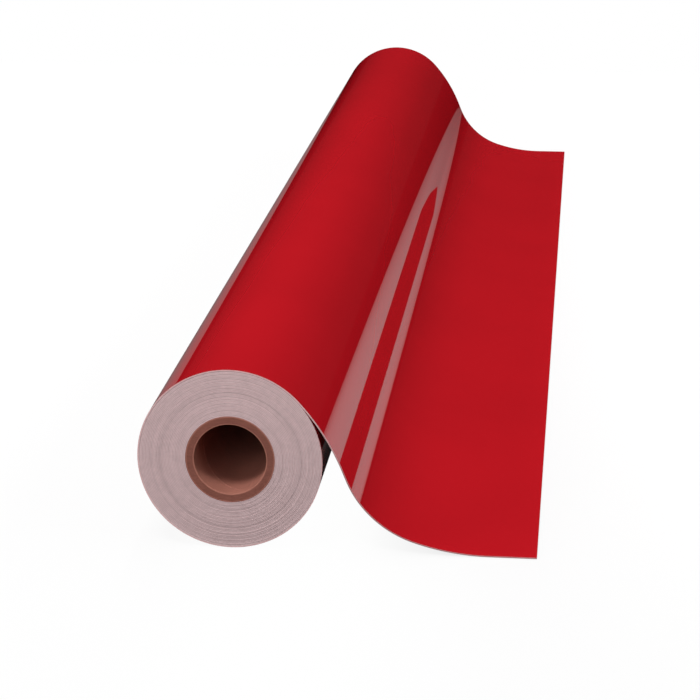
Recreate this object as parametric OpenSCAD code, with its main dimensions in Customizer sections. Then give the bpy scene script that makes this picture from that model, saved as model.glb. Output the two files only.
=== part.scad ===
// Roll of sign vinyl. Film, adhesive and release liner are wound on a paper core, film side out.
// The free end of the web runs off the top of the roll and sweeps down to lie flat on the floor.
// Origin on the core's axis at the middle of its length. Y runs along the core, Z is up, and the
// tail lies towards +X. Angles along the web are slopes below the horizontal, in degrees.

/* [Core] */
// Bore of the paper core, made for a 2 inch spindle
core_id = 50.8; // [25.4:0.1:76.2]
// Wall of the paper core
core_wall = 6; // [3:0.1:12]
// Thickness of each of the core's two facing plies
core_ply_t = 0.8; // [0.4:0.1:1.2]

/* [Start tape] */
// Width of the tape that holds the web's first edge, measured round the core
tape_w = 25; // [10:1:40]
// Thickness of the tape
tape_t = 0.3; // [0.2:0.05:0.6]
// Distance by which the tape stops short of each end of the core
tape_inset = 15; // [5:1:60]

/* [Roll] */
// Width of the web, which is the length of the roll
web_w = 1372; // [300:1:1600]
// Diameter over the outermost turn
roll_od = 130; // [106:1:220]
// Running gap between the wound pack and the outermost turn
turn_gap = 0.3; // [0.2:0.05:0.8]
// Gap between the start of the outermost turn and the web that leaves over it
start_gap = 0.5; // [0.45:0.05:1]

/* [Web layers] */
// Thickness of the coloured film
film_t = 0.3; // [0.2:0.05:0.6]
// Thickness of the adhesive coat
adhesive_t = 0.1; // [0.05:0.05:0.3]
// Thickness of the release liner
liner_t = 0.6; // [0.3:0.05:1]

/* [Tail] */
// Slope at which the web leaves the roll, which is also its angle from the roll's top
lift_off_angle = 48; // [40:1:56]
// How much larger the web's radius becomes as it comes away from the roll
lead_off_extra = 99; // [50:1:180]
// Steepest slope, on the straight span between the two bends
span_angle = 68; // [62:1:74]
// Length of the straight span
span_l = 8; // [2:1:25]
// Slope at which the web flexes and begins its long sweep to the floor
sweep_angle = 18; // [10:1:25]
// Radius of the long sweep, on the liner's side
sweep_r = 170; // [80:1:260]
// Length of web that lies flat on the floor, which is also the length of film that peels
flat_l = 33; // [15:1:200]

/* [Hidden] */
$fn = 96;
// Angle between the points of a curved stretch of web
facet_angle = 2;
// Depth by which a cutting tool runs past the face that it cuts
cut_past = 1;
// Clearance under the tape, which its glue takes up
tape_seat = 0.05;

paper_brown = [0.45, 0.29, 0.24];
paper_light = [0.56, 0.38, 0.31];
tape_colour = [0.85, 0.80, 0.62];
pack_colour = [0.70, 0.60, 0.60];
film_red = [0.71, 0.09, 0.13];
adhesive_grey = [0.80, 0.78, 0.76];
liner_white = [0.90, 0.88, 0.85];

core_bore_r = core_id / 2;
core_r = core_bore_r + core_wall;
web_t = liner_t + adhesive_t + film_t;
roll_r = roll_od / 2;
turn_r = roll_r - web_t;
pack_r = turn_r - turn_gap;

// Levels of the layers above the liner's underside
adhesive_low = liner_t;
film_low = liner_t + adhesive_t;

// Unit vectors square to the web and along it, at a slope
function square_to(slope) = [sin(slope), cos(slope)];
function along(slope) = [cos(slope), -sin(slope)];

// Points on an arc of the liner's underside, each as x, z and slope. A negative radius is a hollow bend.
function arc(centre, r, from, to) =
    let (count = max(1, ceil(abs(to - from) / facet_angle)))
    [for (i = [0:count]) let (a = from + (to - from) * i / count) [each centre + r * square_to(a), a]];
function without_first(path) = [for (i = [1:1:len(path) - 1]) path[i]];

// Where the path of the liner's underside changes from one stretch to the next
lead_off_r = turn_r + lead_off_extra;
lead_centre = -lead_off_extra * square_to(lift_off_angle);
span_end = lead_centre + lead_off_r * square_to(span_angle) + span_l * along(span_angle);
sweep_drop = sweep_r * (1 - cos(sweep_angle));
bend_r = (span_end[1] + roll_r - sweep_drop) / (cos(sweep_angle) - cos(span_angle));
bend_centre = span_end + bend_r * square_to(span_angle);
sweep_start = bend_centre - bend_r * square_to(sweep_angle);
sweep_centre = sweep_start + sweep_r * square_to(sweep_angle);
flat_start = sweep_centre - sweep_r * square_to(0);

// The outermost turn starts where the leaving web has risen clear of it by start_gap
clear_r = roll_r + start_gap;
start_cosine = (pow(lead_off_r, 2) - pow(lead_off_extra, 2) - pow(clear_r, 2)) / (2 * clear_r * lead_off_extra);
turn_start = lift_off_angle + acos(start_cosine) - 360;

turn_path = arc([0, 0], turn_r, turn_start, lift_off_angle);
lead_path = arc(lead_centre, lead_off_r, lift_off_angle, span_angle);
bend_path = arc(bend_centre, -bend_r, span_angle, sweep_angle);
sweep_path = arc(sweep_centre, -sweep_r, sweep_angle, 0);
flat_path = [[each flat_start, 0], [each flat_start + [flat_l, 0], 0]];
web_path = concat(turn_path, without_first(lead_path), bend_path);
film_tail_path = sweep_path;
liner_tail_path = concat(sweep_path, without_first(flat_path));

// A point of the path, raised square to the web
function raised(point, height) = [point[0], point[1]] + height * square_to(point[2]);
function layer_outline(path, low, high) = concat(
    [for (point = path) raised(point, low)],
    [for (i = [len(path) - 1:-1:0]) raised(path[i], high)]
);

// Least gap between the start of the outermost turn and the web that leaves over it
function to_segment(p, a, b) =
    let (t = min(1, max(0, (p - a) * (b - a) / ((b - a) * (b - a)))))
    norm(p - a - t * (b - a));
start_points = [for (i = [0:10]) raised(turn_path[i], web_t)];
leaving_points = [for (point = concat(lead_path, bend_path)) raised(point, 0)];
own_gap = min([
    for (p = start_points)
        for (i = [0:len(leaving_points) - 2])
            to_segment(p, leaving_points[i], leaving_points[i + 1])
]);
echo(least_gap_of_web_to_itself = own_gap);
echo(tail_hinge = raised([each sweep_start, sweep_angle], web_t), peel_hinge = raised([each flat_start, 0], web_t));
echo(tail_end = flat_start + [flat_l, 0], bend_r = bend_r);

module along_core(length) {
    rotate([90, 0, 0])
        linear_extrude(length, center = true)
            children();
}

module tube(outer_r, inner_r) {
    along_core(web_w)
        difference() {
            circle(outer_r);
            circle(inner_r);
        }
}

module layer(path, low, high) {
    along_core(web_w)
        polygon(layer_outline(path, low, high));
}

// The strip that the tape fills, over the top of the core
module tape_strip(inner_r) {
    tape_angle = tape_w / core_r * 180 / PI;
    rotate([90, 0, 0])
        rotate([0, 0, 90 - tape_angle / 2])
            rotate_extrude(angle = tape_angle)
                translate([inner_r, tape_inset - web_w / 2])
                    square([core_r + tape_t - inner_r, web_w - 2 * tape_inset]);
}

module core_inner_ply() {
    color(paper_light)
        tube(core_bore_r + core_ply_t, core_bore_r);
}

module core_body() {
    color(paper_brown)
        tube(core_r - core_ply_t, core_bore_r + core_ply_t);
}

module core_outer_ply() {
    color(paper_light)
        tube(core_r, core_r - core_ply_t);
}

module start_tape() {
    color(tape_colour)
        tape_strip(core_r + tape_seat);
}

module wound_pack() {
    color(pack_colour)
        difference() {
            tube(pack_r, core_r);
            tape_strip(core_r - cut_past);
        }
}

module web_liner() {
    color(liner_white)
        layer(web_path, 0, adhesive_low);
}

module web_adhesive() {
    color(adhesive_grey)
        layer(web_path, adhesive_low, film_low);
}

module web_film() {
    color(film_red)
        layer(web_path, film_low, web_t);
}

module tail_liner() {
    color(liner_white)
        layer(liner_tail_path, 0, adhesive_low);
}

module tail_adhesive() {
    color(adhesive_grey)
        layer(film_tail_path, adhesive_low, film_low);
}

module tail_film() {
    color(film_red)
        layer(film_tail_path, film_low, web_t);
}

module flap_adhesive() {
    color(adhesive_grey)
        layer(flat_path, adhesive_low, film_low);
}

module flap_film() {
    color(film_red)
        layer(flat_path, film_low, web_t);
}

core_inner_ply();
core_body();
core_outer_ply();
start_tape();
wound_pack();
web_liner();
web_adhesive();
web_film();
tail_liner();
tail_adhesive();
tail_film();
flap_adhesive();
flap_film();
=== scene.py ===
import math

import bmesh
import bpy
import numpy as np
from mathutils import Matrix, Vector


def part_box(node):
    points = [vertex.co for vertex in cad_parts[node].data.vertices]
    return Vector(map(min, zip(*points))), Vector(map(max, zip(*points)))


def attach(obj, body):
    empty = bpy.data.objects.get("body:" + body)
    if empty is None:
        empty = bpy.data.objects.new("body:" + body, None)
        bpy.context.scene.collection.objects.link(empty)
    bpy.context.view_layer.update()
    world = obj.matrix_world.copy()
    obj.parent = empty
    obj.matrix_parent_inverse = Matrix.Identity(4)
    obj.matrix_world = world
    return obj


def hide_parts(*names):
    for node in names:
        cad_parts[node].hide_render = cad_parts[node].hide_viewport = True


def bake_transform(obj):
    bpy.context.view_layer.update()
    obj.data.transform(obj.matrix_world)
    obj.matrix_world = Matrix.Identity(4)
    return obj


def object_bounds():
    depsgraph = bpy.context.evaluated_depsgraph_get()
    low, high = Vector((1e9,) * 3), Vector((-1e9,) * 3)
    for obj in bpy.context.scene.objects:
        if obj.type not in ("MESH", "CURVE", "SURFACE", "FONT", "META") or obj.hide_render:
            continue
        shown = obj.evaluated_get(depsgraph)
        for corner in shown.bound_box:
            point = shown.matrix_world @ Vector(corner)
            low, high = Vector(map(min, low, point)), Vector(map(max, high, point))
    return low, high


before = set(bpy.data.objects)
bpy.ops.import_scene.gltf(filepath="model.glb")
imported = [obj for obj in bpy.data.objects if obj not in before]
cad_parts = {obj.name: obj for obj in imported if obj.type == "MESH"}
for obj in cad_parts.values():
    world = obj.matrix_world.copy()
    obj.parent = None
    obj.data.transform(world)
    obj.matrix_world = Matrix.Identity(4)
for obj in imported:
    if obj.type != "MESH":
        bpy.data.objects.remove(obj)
cad_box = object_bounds()

MM = 0.001

# Sizes that the frame gives. The core's inner ply is as thick as its outer one.
near_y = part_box("core_body")[0].y
far_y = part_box("core_body")[1].y
board_in_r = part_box("core_inner_ply")[1].z
board_out_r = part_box("core_body")[1].z
core_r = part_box("core_outer_ply")[1].z
bore_r = board_in_r - (core_r - board_out_r)
tape_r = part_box("start_tape")[1].z
tape_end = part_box("start_tape")[0].y
roll_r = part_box("web_film")[1].z
floor_z = cad_box[0].z
tail_end_x = cad_box[1].x

# The web's layers, as heights above the liner's underside
liner_t = 0.6 * MM
film_low = 0.7 * MM
web_t = 1.0 * MM
turn_r = roll_r - web_t

# The web's route, whose slopes are measured below the horizontal
lift_off_slope = math.radians(48)
lead_off_extra = 99 * MM
span_slope = math.radians(68)
span_l = 8 * MM
sweep_slope = math.radians(18)
sweep_r = 170 * MM

# The outermost turn grows out of the turn below it
taper_start = math.radians(3)
taper_turn = math.radians(100)

# How finely the web and the lathed pieces are drawn
turn_step = math.radians(1.5)
bend_step = math.radians(0.75)
flat_steps = 12
web_columns = 24
around = 192
sharp_edge = math.radians(35)


def square_to(slope):
    """The unit vector square to the web, in X and Z."""
    return np.array((math.sin(slope), math.cos(slope)))


def along(slope):
    """The unit vector along the web, in X and Z."""
    return np.array((math.cos(slope), -math.sin(slope)))


def arc(centre, radius, first, last, step):
    """Stations x, z and slope on an arc of the liner's underside. A hollow bend has a negative radius."""
    count = math.ceil(abs(last - first) / step)
    return [(*(centre + radius * square_to(a)), a) for a in np.linspace(first, last, count + 1)]


# Where the liner's underside changes from one stretch to the next
lead_off_r = turn_r + lead_off_extra
lead_centre = -lead_off_extra * square_to(lift_off_slope)
span_end = lead_centre + lead_off_r * square_to(span_slope) + span_l * along(span_slope)
sweep_drop = sweep_r * (1 - math.cos(sweep_slope))
bend_r = (span_end[1] - floor_z - sweep_drop) / (math.cos(sweep_slope) - math.cos(span_slope))
bend_centre = span_end + bend_r * square_to(span_slope)
sweep_start = bend_centre - bend_r * square_to(sweep_slope)
sweep_centre = sweep_start + sweep_r * square_to(sweep_slope)
flat_start = sweep_centre - sweep_r * square_to(0)

turn_first = lift_off_slope + taper_start - math.tau
turn_path = arc(np.zeros(2), turn_r, turn_first, lift_off_slope, turn_step)
lead_path = arc(lead_centre, lead_off_r, lift_off_slope, span_slope, bend_step)
bend_path = arc(bend_centre, -bend_r, span_slope, sweep_slope, bend_step)
sweep_path = arc(sweep_centre, -sweep_r, sweep_slope, 0, bend_step)
flat_path = [(x, floor_z, 0) for x in np.linspace(flat_start[0], tail_end_x, flat_steps + 1)]
film_path = np.array(turn_path + lead_path[1:] + bend_path + sweep_path[1:])
end_path = np.array(flat_path)
liner_path = np.vstack((film_path, end_path[1:]))


def growth(path):
    """The share of its full thickness that the web is drawn with: it tapers in below the leaving web."""
    turned = (path[:, 2] - turn_first + taper_start) / taper_turn
    share = np.clip(turned, 0, 1)
    share[len(turn_path):] = 1
    return share


def length_of(path):
    """The distance along the web to each station."""
    steps = np.hypot(np.diff(path[:, 0]), np.diff(path[:, 1]))
    return np.concatenate(([0], np.cumsum(steps)))


# Meshes

# The material slots of a layer of the web
UNDERSIDE, UPPER_FACE, SLIT_EDGE = range(3)


def make_object(name, points, faces, materials, face_slots=None):
    mesh = bpy.data.meshes.new(name)
    mesh.from_pydata([tuple(p) for p in points], [], faces)
    for material in materials:
        mesh.materials.append(material)
    if face_slots is not None:
        mesh.polygons.foreach_set("material_index", face_slots)
    work = bmesh.new()
    work.from_mesh(mesh)
    bmesh.ops.recalc_face_normals(work, faces=work.faces)
    work.to_mesh(mesh)
    work.free()
    mesh.polygons.foreach_set("use_smooth", [True] * len(mesh.polygons))
    mesh.set_sharp_from_angle(angle=sharp_edge)
    piece = bpy.data.objects.new(name, mesh)
    bpy.context.scene.collection.objects.link(piece)
    return piece


def web_layer(name, path, low, high, materials, share=None, start=0.0):
    """One layer of the web as a thin closed sheet, from the height low to the height high. The attribute
    flat holds each point's place on the web before it was wound."""
    share = np.ones(len(path)) if share is None else share
    columns = np.linspace(near_y, far_y, web_columns + 1)
    run = start + length_of(path)
    points, flat = [], []
    for height in (low, high):
        for (x, z, slope), part, distance in zip(path, share, run):
            px, pz = np.array((x, z)) + height * part * square_to(slope)
            points += [(px, y, pz) for y in columns]
            flat += [(distance, y, height) for y in columns]
    wide, long = len(columns), len(path)
    top = wide * long
    faces, slots = [], []
    for i in range(long - 1):
        for j in range(wide - 1):
            a, b = i * wide + j, (i + 1) * wide + j
            faces += [(a, a + 1, b + 1, b), (top + a, top + b, top + b + 1, top + a + 1)]
            slots += [UNDERSIDE, UPPER_FACE]
    for i in range(long - 1):
        for j in (0, wide - 1):
            a, b = i * wide + j, (i + 1) * wide + j
            faces.append((a, b, top + b, top + a))
            slots.append(SLIT_EDGE)
    for j in range(wide - 1):
        for i in (0, long - 1):
            a = i * wide + j
            faces.append((a, a + 1, top + a + 1, top + a))
            slots.append(SLIT_EDGE)
    piece = make_object(name, points, faces, materials, slots)
    attribute = piece.data.attributes.new("flat", "FLOAT_VECTOR", "POINT")
    attribute.data.foreach_set("vector", np.array(flat, np.float32).ravel())
    return piece


def spiral_rows(low, high, pitch, phases):
    """A grid wrapped round the core whose rows follow a spiral. A row moves on by one pitch in each turn
    from the slope at which the web lifts off, and ends on high there. Returns the grid's points, each as
    its step round, its value, its phase and its turn, its faces with the phase that each follows, and
    its first and last rings. The turns that reach past low or high are cut off there."""
    per_turn = len(phases)
    spare_turns = 2
    turns = math.ceil((high - low) / pitch) + spare_turns
    first = high - (turns - 1) * pitch
    ids, points = {}, []

    def point(i, j):
        turn, phase = divmod(j, per_turn)
        value = first + pitch * (turn + phases[phase] + i / around)
        end = "low" if value <= low else "high" if value >= high else j
        if (i, end) not in ids:
            ids[i, end] = len(points)
            inside = min(max(value, low), high)
            points.append((i, inside, phase if end == j else None, turn + i / around))
        return ids[i, end]

    faces, phase_of = [], []
    for j in range(turns * per_turn):
        for i in range(around):
            k, shift = (i + 1, 0) if i + 1 < around else (0, per_turn)
            ring = (point(i, j), point(k, j + shift), point(k, j + 1 + shift), point(i, j + 1))
            corners = list(dict.fromkeys(ring))
            if len(corners) > 2:
                faces.append(corners)
                phase_of.append(j % per_turn)
    low_ring = [ids[i, "low"] for i in range(around)]
    high_ring = [ids[i, "high"] for i in range(around)]
    return points, faces, phase_of, low_ring, high_ring


def on_circle(i, radius, y):
    """A point at a step round the core, counted from the slope at which the web lifts off."""
    x, z = radius * square_to(lift_off_slope + math.tau * i / around)
    return (x, y, z)


def add_rings(points, profile):
    """Adds a ring of points for each radius and y of a profile, and returns the rings."""
    rings = []
    for radius, y in profile:
        rings.append(list(range(len(points), len(points) + around)))
        points += [on_circle(i, radius, y) for i in range(around)]
    return rings


def bridge(faces, rings):
    """Joins each ring of points to the next."""
    for one, two in zip(rings, rings[1:]):
        for i in range(around):
            k = (i + 1) % around
            faces.append((one[i], one[k], two[k], two[i]))


def tube(name, profile, material):
    """A closed piece turned round the core's axis from a closed profile of radius and y."""
    points, faces = [], []
    rings = add_rings(points, profile)
    bridge(faces, rings + rings[:1])
    return make_object(name, points, faces, [material])


# Shader nodes

# Most of a noise texture's values lie between these
NOISE_RANGE = (0.3, 0.7)


def new_material(name, roughness, specular):
    """A new material, its node tree and its shader."""
    material = bpy.data.materials.new(name)
    material.use_nodes = True
    shader = material.node_tree.nodes["Principled BSDF"]
    shader.inputs["Roughness"].default_value = roughness
    shader.inputs["Specular IOR Level"].default_value = specular
    return material, material.node_tree, shader


def object_place(tree):
    """The place in the piece's own axes."""
    return tree.nodes.new("ShaderNodeTexCoord").outputs["Object"]


def web_place(tree):
    """The place on the web before it was wound: along it, across it and above its underside."""
    place = tree.nodes.new("ShaderNodeAttribute")
    place.attribute_name = "flat"
    return place.outputs["Vector"]


def stretched(tree, place, scale):
    """A place scaled along each axis: a small scale draws a texture out."""
    mapping = tree.nodes.new("ShaderNodeMapping")
    mapping.inputs["Scale"].default_value = scale
    tree.links.new(place, mapping.inputs["Vector"])
    return mapping.outputs["Vector"]


def parts_of(tree, place):
    """The X, Y and Z of a place, by their names."""
    node = tree.nodes.new("ShaderNodeSeparateXYZ")
    tree.links.new(place, node.inputs["Vector"])
    return node.outputs


def noise(tree, place, scale, detail=3.0, roughness=0.55):
    texture = tree.nodes.new("ShaderNodeTexNoise")
    texture.inputs["Scale"].default_value = scale
    texture.inputs["Detail"].default_value = detail
    texture.inputs["Roughness"].default_value = roughness
    tree.links.new(place, texture.inputs["Vector"])
    return texture.outputs["Fac"]


def between(tree, value, given, wanted):
    """The value, moved from the range given to the range wanted."""
    node = tree.nodes.new("ShaderNodeMapRange")
    for name, limit in zip(("From Min", "From Max", "To Min", "To Max"), (*given, *wanted)):
        node.inputs[name].default_value = limit
    tree.links.new(value, node.inputs["Value"])
    return node.outputs["Result"]


def math_node(tree, operation, one, two):
    node = tree.nodes.new("ShaderNodeMath")
    node.operation = operation
    tree.links.new(one, node.inputs[0])
    tree.links.new(two, node.inputs[1])
    return node.outputs["Value"]


def ramp(tree, value, stops):
    """A colour for each value: stops are (position, colour)."""
    node = tree.nodes.new("ShaderNodeValToRGB")
    elements = node.color_ramp.elements
    middle = 0.5
    while len(elements) < len(stops):
        elements.new(middle)
    for element, (position, colour) in zip(elements, stops):
        element.position = position
        element.color = (*colour, 1)
    tree.links.new(value, node.inputs["Fac"])
    return node.outputs["Color"]


def grey(level):
    return (level, level, level)


def shade(colour, share):
    return tuple(part * share for part in colour)


def mottled(tree, texture, colour, dark, light):
    """A colour that a noise texture takes from its share dark to its share light."""
    low, high = NOISE_RANGE
    return ramp(tree, texture, ((low, shade(colour, dark)), (high, shade(colour, light))))


def multiplied(tree, one, two):
    """Two colours multiplied. The mix node's sockets for colours have numbers, since its sockets for
    other types have the same names."""
    first_colour, second_colour, mixed_colour = 6, 7, 2
    node = tree.nodes.new("ShaderNodeMix")
    node.data_type = "RGBA"
    node.blend_type = "MULTIPLY"
    node.inputs["Factor"].default_value = 1.0
    tree.links.new(one, node.inputs[first_colour])
    tree.links.new(two, node.inputs[second_colour])
    return node.outputs[mixed_colour]


def bump(tree, shader, height, strength, distance):
    node = tree.nodes.new("ShaderNodeBump")
    node.inputs["Strength"].default_value = strength
    node.inputs["Distance"].default_value = distance
    tree.links.new(height, node.inputs["Height"])
    tree.links.new(node.outputs["Normal"], shader.inputs["Normal"])


# Materials

FILM_RED = (0.465, 0.0075, 0.0135)
LINER_WHITE = (0.80, 0.77, 0.73)
ADHESIVE_GREY = (0.66, 0.64, 0.61)
KRAFT = (0.45, 0.178, 0.130)
BOARD = (0.285, 0.104, 0.077)
TAPE_BUFF = (0.66, 0.55, 0.33)
# The slit edges of the turns below, and of the outermost one, where it is wound and where it is free.
# Where it is wound, its colour is painted lighter, as a painted highlight along the roll's rim.
TURN_LINER_EDGE = (0.74, 0.565, 0.572)
TURN_FILM_EDGE = (0.64, 0.425, 0.43)
FILM_EDGE_PAINTED_HIGHLIGHT = (0.76, 0.46, 0.465)
FREE_FILM_EDGE = (0.70, 0.25, 0.265)
WEB_EDGE_PAINTED_HIGHLIGHT = (0.84, 0.56, 0.56)
FREE_WEB_EDGE = (0.45, 0.235, 0.235)
EDGE_FINISH = {"roughness": 0.6, "specular": 0.25}
# The share of its colour that a slit edge keeps at a radius
DARK_RINGS = (
    (35.6 * MM, 1.0),
    (37.2 * MM, 0.96),
    (38.8 * MM, 1.0),
    (46.8 * MM, 1.0),
    (48.6 * MM, 0.95),
    (49.8 * MM, 0.92),
    (50.8 * MM, 1.0),
    (54.4 * MM, 1.0),
    (55.6 * MM, 0.94),
    (56.8 * MM, 1.0),
)
# Distances along the web between which its slit edge turns from a wound one, with its painted highlight,
# to a free one, which is darker
highlight_fade_l = 60 * MM
lift_off_run = length_of(np.array(turn_path))[-1]
highlight_fade_stretch = (lift_off_run, lift_off_run + highlight_fade_l)


def film_material(name, place_of):
    """Glossy pigmented vinyl: an even red, with the faintest cloudiness and the fine orange peel of a
    cast film."""
    material, tree, shader = new_material(name, roughness=0.06, specular=0.5)
    place = place_of(tree)
    clouds = noise(tree, place, scale=7, detail=2)
    tree.links.new(mottled(tree, clouds, FILM_RED, dark=0.97, light=1.03), shader.inputs["Base Color"])
    streaks = noise(tree, stretched(tree, place, scale=(1, 0.15, 1)), scale=45)
    gloss = between(tree, streaks, given=NOISE_RANGE, wanted=(0.010, 0.022))
    tree.links.new(gloss, shader.inputs["Roughness"])
    peel = noise(tree, place, scale=420, detail=2)
    bump(tree, shader, peel, strength=0.02, distance=0.1 * MM)
    return material


def paper_material(name, place_of, colour, roughness, specular, fibre_scale, contrast):
    """Paper with its fibres, which lie mostly along the X of its place, and a soft mottle."""
    mottle_per_fibre = 16
    uneven = 0.08
    material, tree, shader = new_material(name, roughness, specular)
    place = place_of(tree)
    lengthwise = stretched(tree, place, scale=(0.25, 1, 1))
    fibres = noise(tree, lengthwise, fibre_scale, detail=5, roughness=0.65)
    mottle = noise(tree, place, fibre_scale / mottle_per_fibre)
    tone = mottled(tree, fibres, colour, dark=1 - contrast, light=1 + contrast)
    cloud = mottled(tree, mottle, grey(1), dark=1 - contrast, light=1)
    tree.links.new(multiplied(tree, tone, cloud), shader.inputs["Base Color"])
    finish = between(tree, fibres, given=(0.2, 0.8), wanted=(roughness - uneven, roughness + uneven))
    tree.links.new(finish, shader.inputs["Roughness"])
    bump(tree, shader, fibres, strength=0.25, distance=0.1 * MM)
    return material


def adhesive_material(name):
    """The pressure-sensitive coat: a pale grey with the pebbled face that the liner leaves on it."""
    material, tree, shader = new_material(name, roughness=0.32, specular=0.5)
    pebbles = noise(tree, web_place(tree), scale=700, detail=2)
    tone = mottled(tree, pebbles, ADHESIVE_GREY, dark=0.94, light=1.04)
    tree.links.new(tone, shader.inputs["Base Color"])
    bump(tree, shader, pebbles, strength=0.3, distance=0.05 * MM)
    return material


def tape_material(name):
    """Creped paper tape."""
    material, tree, shader = new_material(name, roughness=0.55, specular=0.3)
    crepe = noise(tree, stretched(tree, object_place(tree), scale=(1, 0.2, 1)), scale=900)
    tree.links.new(mottled(tree, crepe, TAPE_BUFF, dark=0.9, light=1.05), shader.inputs["Base Color"])
    bump(tree, shader, crepe, strength=0.4, distance=0.1 * MM)
    return material


def axis_distance(tree):
    """How far a point lies from the core's axis."""
    length = tree.nodes.new("ShaderNodeVectorMath")
    length.operation = "LENGTH"
    tree.links.new(stretched(tree, object_place(tree), scale=(1, 0, 1)), length.inputs[0])
    return length.outputs["Value"]


def scuffed(tree, shader, colour):
    """Gives a slit edge its scuffs."""
    scuffs = noise(tree, object_place(tree), scale=260, detail=4, roughness=0.6)
    scuff = ramp(tree, scuffs, ((0.3, grey(0.93)), (0.65, grey(1.03))))
    tree.links.new(multiplied(tree, colour, scuff), shader.inputs["Base Color"])
    bump(tree, shader, scuffs, strength=0.2, distance=0.1 * MM)


def turn_edge_material(name, colour):
    """The slit edge of one layer in the wound turns, darker and lighter from turn to turn, with a few
    rings of turns that are darker all round."""
    material, tree, shader = new_material(name, **EDGE_FINISH)
    radius = axis_distance(tree)
    ring = tree.nodes.new("ShaderNodeCombineXYZ")
    tree.links.new(radius, ring.inputs["X"])
    turn_noise = noise(tree, ring.outputs["Vector"], scale=210, detail=4, roughness=0.7)
    stops = ((0.32, shade(colour, 0.90)), (0.55, colour), (0.75, shade(colour, 1.04)))
    turn_tone = ramp(tree, turn_noise, stops)
    across = between(tree, radius, given=(core_r, roll_r), wanted=(0, 1))
    ring_stops = [((at - core_r) / (roll_r - core_r), grey(share)) for at, share in DARK_RINGS]
    ring_tone = ramp(tree, across, ring_stops)
    scuffed(tree, shader, multiplied(tree, turn_tone, ring_tone))
    return material


def outer_edge_material(name, painted_highlight_colour, free_colour):
    """The slit edge of the outermost turn, painted lighter on the roll as a painted highlight along its
    rim, and darker on the free end.
    """
    material, tree, shader = new_material(name, **EDGE_FINISH)
    # The painted highlight of the wound edge gives way to the darker colour of the free edge
    free = between(tree, parts_of(tree, web_place(tree))["X"], given=highlight_fade_stretch, wanted=(0, 1))
    scuffed(tree, shader, ramp(tree, free, ((0, painted_highlight_colour), (1, free_colour))))
    return material


film = film_material("vinyl_film", web_place)
inner_film = film_material("vinyl_film_below", object_place)
liner_back = paper_material("liner_back", web_place, LINER_WHITE,
                            roughness=0.62, specular=0.3, fibre_scale=900, contrast=0.03)
liner_face = paper_material("liner_release_face", web_place, shade(LINER_WHITE, 1.02),
                            roughness=0.34, specular=0.5, fibre_scale=500, contrast=0.015)
adhesive = adhesive_material("adhesive")
liner_turn_edge = turn_edge_material("slit_liner", TURN_LINER_EDGE)
film_turn_edge = turn_edge_material("slit_film", TURN_FILM_EDGE)
film_edge = outer_edge_material("slit_outer_film", FILM_EDGE_PAINTED_HIGHLIGHT, FREE_FILM_EDGE)
web_edge = outer_edge_material("slit_outer_web", WEB_EDGE_PAINTED_HIGHLIGHT, FREE_WEB_EDGE)
kraft = paper_material("kraft_ply", object_place, KRAFT,
                       roughness=0.7, specular=0.25, fibre_scale=700, contrast=0.10)
board = paper_material("core_board", object_place, BOARD,
                       roughness=0.8, specular=0.2, fibre_scale=1100, contrast=0.14)
tape = tape_material("tape_crepe")


# The web

film_share = growth(film_path)
liner_share = growth(liner_path)
film_length = length_of(film_path)[-1]
film_finish = [film, film, film_edge]
adhesive_finish = [adhesive, adhesive, web_edge]
liner_finish = [liner_back, liner_face, web_edge]

film_main = web_layer("film", film_path, film_low, web_t, film_finish, film_share)
film_end = web_layer("film_end", end_path, film_low, web_t, film_finish, start=film_length)
adhesive_main = web_layer("adhesive_coat", film_path, liner_t, film_low, adhesive_finish, film_share)
adhesive_end = web_layer("adhesive_coat_end", end_path, liner_t, film_low, adhesive_finish,
                         start=film_length)
liner = web_layer("release_liner", liner_path, 0, liner_t, liner_finish, liner_share)


# The wound turns, whose ends show every turn's layers

turn_gap = 0.1 * MM
core_gap = 0.05 * MM
tape_gap = 0.1 * MM
tape_end_gap = 1 * MM
pack_r = turn_r - turn_gap
pack_in_r = core_r + core_gap
tape_room_r = tape_r + tape_gap
tape_room_end = tape_end - tape_end_gap - near_y

# The stretches of a turn from the core outwards, which are the groove, the liner, the liner's far side,
# the film and the film's far side: the share of the turn at which each begins, how deep it lies there
# and whose edge it shows
PACK_SIDE, LINER_EDGE, FILM_EDGE = range(3)
stretch_phases = (0.0, 0.05, 0.60, 0.68, 0.95)
stretch_depths = (0.08 * MM, 0.02 * MM, 0.02 * MM, 0.045 * MM, 0.04 * MM)
stretch_slots = (LINER_EDGE, LINER_EDGE, FILM_EDGE, FILM_EDGE, FILM_EDGE)
# Each turn also lies a little deeper or prouder than its neighbours, by waves of a share, a rate and a
# shift, and a few rings of turns at a radius stand out or lie back by a height
wander = 0.07 * MM
wander_waves = ((0.6, 2.4, 0.0), (0.4, 5.3, 1.1))
ring_w = 1.1 * MM
rings = (
    (38.4 * MM, -0.04 * MM),
    (49.1 * MM, 0.05 * MM),
    (51.0 * MM, -0.03 * MM),
    (55.2 * MM, 0.04 * MM),
)


def turn_height(turn, radius):
    """How far a turn stands out of the end face."""
    proud = wander * sum(share * math.sin(rate * turn + shift) for share, rate, shift in wander_waves)
    for ring_r, height in rings:
        proud += height * math.exp(-((radius - ring_r) / ring_w) ** 2)
    return proud


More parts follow.
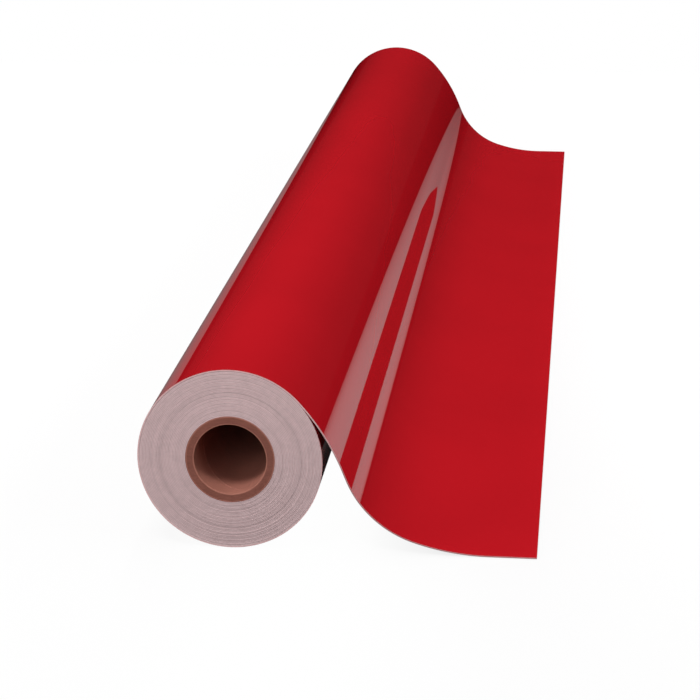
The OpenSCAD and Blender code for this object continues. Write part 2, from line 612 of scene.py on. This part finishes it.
def wound_turns():
    """The turns below the outermost one, with room for the tape in their bore."""
    rows, row_faces, phase_of, low_ring, high_ring = spiral_rows(pack_in_r, pack_r, web_t, stretch_phases)
    points, faces, slots, ends = [], [], [], []
    for y, outward in ((near_y, -1), (far_y, 1)):
        offset = len(points)
        for i, radius, phase, turn in rows:
            deep = 0 if phase is None else stretch_depths[phase] - turn_height(turn, radius)
            points.append(on_circle(i, radius, y - outward * deep))
        faces += [[offset + corner for corner in face] for face in row_faces]
        slots += [stretch_slots[phase] for phase in phase_of]
        ends.append(([offset + k for k in low_ring], [offset + k for k in high_ring]))
    (near_in, near_out), (far_in, far_out) = ends
    bore = add_rings(points, (
        (pack_in_r, near_y + tape_room_end),
        (tape_room_r, near_y + tape_room_end),
        (tape_room_r, far_y - tape_room_end),
        (pack_in_r, far_y - tape_room_end),
    ))
    bridge(faces, [near_out, far_out])
    bridge(faces, [near_in, *bore, far_in])
    slots += [PACK_SIDE] * (len(faces) - len(slots))
    return make_object("wound_turns", points, faces, [inner_film, liner_turn_edge, film_turn_edge], slots)


turns = wound_turns()


# The paper core

ply_lip = 0.3 * MM
board_plies = 8
ply_groove = 0.06 * MM
# The share of a ply, or of the seam, that each sloping side of a groove takes
ply_side = 0.15
seam_side = 0.3
seam_pitch = 128 * MM
seam_w = 1.4 * MM
seam_depth = 0.25 * MM


def board_end(y, outward):
    """The board's slit end from its bore outwards, with a fine groove between plies."""
    ply = (board_out_r - board_in_r) / board_plies
    end = []
    for k in range(board_plies):
        inner = board_in_r + k * ply
        end.append((inner, y - outward * ply_groove))
        end.append((inner + ply_side * ply, y))
        end.append((inner + (1 - ply_side) * ply, y))
    return end + [(board_out_r, y - outward * ply_groove)]


def board_tube():
    """The board of the core, with its plies at both ends."""
    return tube("core_board_plies", board_end(near_y, -1) + board_end(far_y, 1)[::-1], board)


def face_ply():
    """The outer ply, with worn lips."""
    profile = (
        (board_out_r, near_y),
        (core_r - ply_lip, near_y),
        (core_r, near_y + ply_lip),
        (core_r, far_y - ply_lip),
        (core_r - ply_lip, far_y),
        (board_out_r, far_y),
    )
    return tube("core_face_ply", profile, kraft)


def bore_ply():
    """The innermost ply, wound on a helix, which leaves a fine open seam down the bore."""
    seam = seam_w / seam_pitch
    seam_phases = (0.0, seam_side * seam, (1 - seam_side) * seam, seam)
    plain_phases = (0.25, 0.5, 0.75)
    depths = (0, seam_depth, seam_depth, 0) + (0,) * len(plain_phases)
    inner_low, inner_high = near_y + ply_lip, far_y - ply_lip
    phases = seam_phases + plain_phases
    rows, faces, _, near_ring, far_ring = spiral_rows(inner_low, inner_high, seam_pitch, phases)
    points = []
    for i, y, phase, _ in rows:
        deep = 0 if phase is None else depths[phase]
        points.append(on_circle(i, bore_r + deep, y))
    outside = add_rings(points, (
        (bore_r + ply_lip, near_y),
        (board_in_r, near_y),
        (board_in_r, far_y),
        (bore_r + ply_lip, far_y),
    ))
    bridge(faces, [near_ring, *outside, far_ring])
    return make_object("core_bore_ply", points, faces, [kraft])


core_board = board_tube()
core_face = face_ply()
core_bore = bore_ply()
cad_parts["start_tape"].data.materials.clear()
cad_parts["start_tape"].data.materials.append(tape)


# Each piece, a slot name that nothing reads, and the parts that it replaces. The turns and the core ride
# on the roll.

for piece, slot, nodes in (
    (film_main, "film", ("web_film", "tail_film")),
    (adhesive_main, "adhesive", ("web_adhesive", "tail_adhesive")),
    (liner, "liner", ("web_liner", "tail_liner")),
):
    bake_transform(piece)
    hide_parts(*nodes)

for piece, slot, node in (
    (film_end, "film", "flap_film"),
    (adhesive_end, "adhesive", "flap_adhesive"),
):
    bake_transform(piece)
    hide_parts(node)

for piece, slot, node in (
    (turns, "wound_edges", "wound_pack"),
    (core_board, "core_board", "core_body"),
    (core_face, "core_paper", "core_outer_ply"),
    (core_bore, "core_paper", "core_inner_ply"),
):
    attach(piece, "roll")
    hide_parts(node)


# Floor, light and camera

FLOOR_HALF = 60.0
# How far the floor lies below the tail, so that their faces don't meet
FLOOR_DROP = 0.2 * MM
# The floor's grey at its fullest, and the share of it on the set's two patches, left and right of the
# roll, as (place, share) along the roll and across it, within the set's half size. The patches are
# painted pools of light, which fade outwards as under a lamp close above, and dip to little or no grey
# under the roll and the web as painted shade.
FLOOR_GREY = 0.339
SET_HALF = 2.0
LEFT_LIGHT_POOL = (
    ((-1.70, 0.0), (-0.80, 1.0), (1.26, 1.0), (1.275, 0.0)),
    ((-1.41, 0.0), (-0.90, 0.20), (-0.045, 0.20), (0.0, 0.04), (0.09, 0.0)),
)
RIGHT_LIGHT_POOL = (
    ((-1.70, 0.0), (-0.80, 1.0), (-0.20, 1.0), (1.26, 0.25), (1.275, 0.0)),
    ((0.0, 0.0), (0.09, 0.04), (0.21, 0.69), (0.50, 1.0), (1.20, 1.0), (1.26, 0.0)),
)
# How brightly the lamps light what lies flat on the floor, and how white the floor shows
FLOOR_LIGHT = 1.36
FLOOR_WHITE = 1.0
WHITE = (1, 1, 1, 1)


def light_pool_share(tree, place, stops):
    """The share of the floor's grey in a painted pool of light, at a place along one axis: stops are
    (place, share).
    """
    spread = between(tree, place, given=(-SET_HALF, SET_HALF), wanted=(0, 1))
    return ramp(tree, spread, [((at / SET_HALF + 1) / 2, grey(share)) for at, share in stops])


def white_to_camera(tree, level):
    """A level that the camera sees as 1, also through what is clear."""
    rays = tree.nodes.new("ShaderNodeLightPath").outputs
    for ray in (rays["Is Camera Ray"], rays["Is Transmission Ray"]):
        level = math_node(tree, "MAXIMUM", level, ray)
    return level


def floor_material(name):
    """Matt pale paper. Its grey carries the object's shadow, and a glow, which the camera sees, makes up
    the rest of the white. Reflections see the grey and a share of the glow, which both fade outwards as
    painted pools of light, with painted shade under the roll and the web."""
    material, tree, shader = new_material(name, roughness=0.9, specular=0.0)
    place = parts_of(tree, object_place(tree))
    light_pools = []
    # Painted pools of light on the floor, with painted shade under the roll and the web
    for along_stops, across_stops in (LEFT_LIGHT_POOL, RIGHT_LIGHT_POOL):
        share_along = light_pool_share(tree, place["Y"], along_stops)
        share_across = light_pool_share(tree, place["X"], across_stops)
        light_pools.append(math_node(tree, "MULTIPLY", share_along, share_across))
    light_pool = math_node(tree, "MAXIMUM", *light_pools)
    floor_grey = between(tree, light_pool, given=(0, 1), wanted=(0, FLOOR_GREY))
    tree.links.new(floor_grey, shader.inputs["Base Color"])
    glow_range = (FLOOR_WHITE, FLOOR_WHITE - FLOOR_LIGHT)
    rest_of_white = between(tree, floor_grey, given=(0, 1), wanted=glow_range)
    glossy_ray = tree.nodes.new("ShaderNodeLightPath").outputs["Is Glossy Ray"]
    seen = white_to_camera(tree, math_node(tree, "MULTIPLY", glossy_ray, floor_grey))
    glow = math_node(tree, "MULTIPLY", seen, rest_of_white)
    tree.links.new(glow, shader.inputs["Emission Strength"])
    shader.inputs["Emission Color"].default_value = WHITE
    return material


def add_floor():
    z = floor_z - FLOOR_DROP
    corners = [(x * FLOOR_HALF, y * FLOOR_HALF, z) for x, y in ((-1, -1), (1, -1), (1, 1), (-1, 1))]
    floor = make_object("floor", corners, [(0, 1, 2, 3)], [floor_material("floor_paper")])


def add_world():
    """A dim room under a soft white ceiling, which the camera sees as a white backdrop."""
    room_level = 0.006
    ceiling_level = 0.10
    ceiling_rise = (math.sin(math.radians(35)), math.sin(math.radians(65)))
    world = bpy.data.worlds.new("studio")
    world.use_nodes = True
    tree = world.node_tree
    direction = parts_of(tree, tree.nodes.new("ShaderNodeTexCoord").outputs["Generated"])
    level = between(tree, direction["Z"], given=ceiling_rise, wanted=(room_level, ceiling_level))
    background = tree.nodes["Background"]
    tree.links.new(white_to_camera(tree, level), background.inputs["Strength"])
    background.inputs["Color"].default_value = WHITE
    bpy.context.scene.world = world


def add_lamp(name, lamp, turned, place=(0, 0, 0)):
    holder = bpy.data.objects.new(name, lamp)
    holder.rotation_euler = turned.to_euler()
    holder.location = place
    bpy.context.scene.collection.objects.link(holder)
    return holder


def far_lamp(name, towards, strength, spread):
    """A far soft lamp, given by the direction towards it and by its spread in degrees."""
    lamp = bpy.data.lights.new(name, "SUN")
    lamp.energy = strength
    lamp.angle = math.radians(spread)
    return add_lamp(name, lamp, Vector(towards).to_track_quat("Z", "Y"))


def softbox(name, place, aim, breadth, length, power):
    """A softbox with its long side along the roll."""
    lamp = bpy.data.lights.new(name, "AREA")
    lamp.shape = "RECTANGLE"
    lamp.size, lamp.size_y = breadth, length
    lamp.energy = power
    towards = (Vector(place) - Vector(aim)).normalized()
    across = Vector((0, 1, 0)).cross(towards).normalized()
    turned = Matrix((across, towards.cross(across), towards)).transposed()
    add_lamp(name, lamp, turned, place).visible_camera = False


def add_lamps():
    """A soft key from the front and high up, weak fills from the front and the back that the gloss
    doesn't show, and long softboxes on both sides of the roll and above it."""
    far_lamp("key", towards=(-0.15, -0.466, 1), strength=1.55, spread=16)
    front = far_lamp("front_fill", towards=(-0.18, -1, 0.42), strength=1.05, spread=40)
    front.visible_glossy = False
    back = far_lamp("back_fill", towards=(0, 1, 0.25), strength=1.1, spread=50)
    back.visible_glossy = False
    side_y = 0.1
    softbox("left_softbox", place=(-1.3, side_y, 0.8), aim=(0, side_y, 0),
            breadth=0.4, length=4.2, power=21.5)
    softbox("right_softbox", place=(1.5, side_y, 1.2), aim=(0, side_y, 0),
            breadth=0.4, length=4.2, power=25)
    top_y = 0.9
    softbox("top_softbox", place=(0, top_y, 1.6), aim=(0, top_y, 0),
            breadth=0.15, length=3.2, power=12)


def add_camera():
    """The photograph's view, fitted to the roll's end, its left outline and the tail's four sides."""
    beside_core = 0.2365
    before_roll = 1.4626
    above_floor = 0.5914
    pitch = math.radians(16.82)
    yaw = math.radians(5.97)
    camera = bpy.data.cameras.new("camera")
    camera.sensor_width = 36
    camera.lens = 116.59
    camera.clip_end = 200
    holder = bpy.data.objects.new("camera", camera)
    holder.location = (beside_core, near_y - before_roll, floor_z + above_floor)
    holder.rotation_euler = (math.pi / 2 - pitch, 0, yaw)
    bpy.context.scene.collection.objects.link(holder)
    bpy.context.scene.camera = holder


add_floor()
add_world()
add_lamps()
add_camera()
bpy.context.scene.view_settings.view_transform = "Standard"
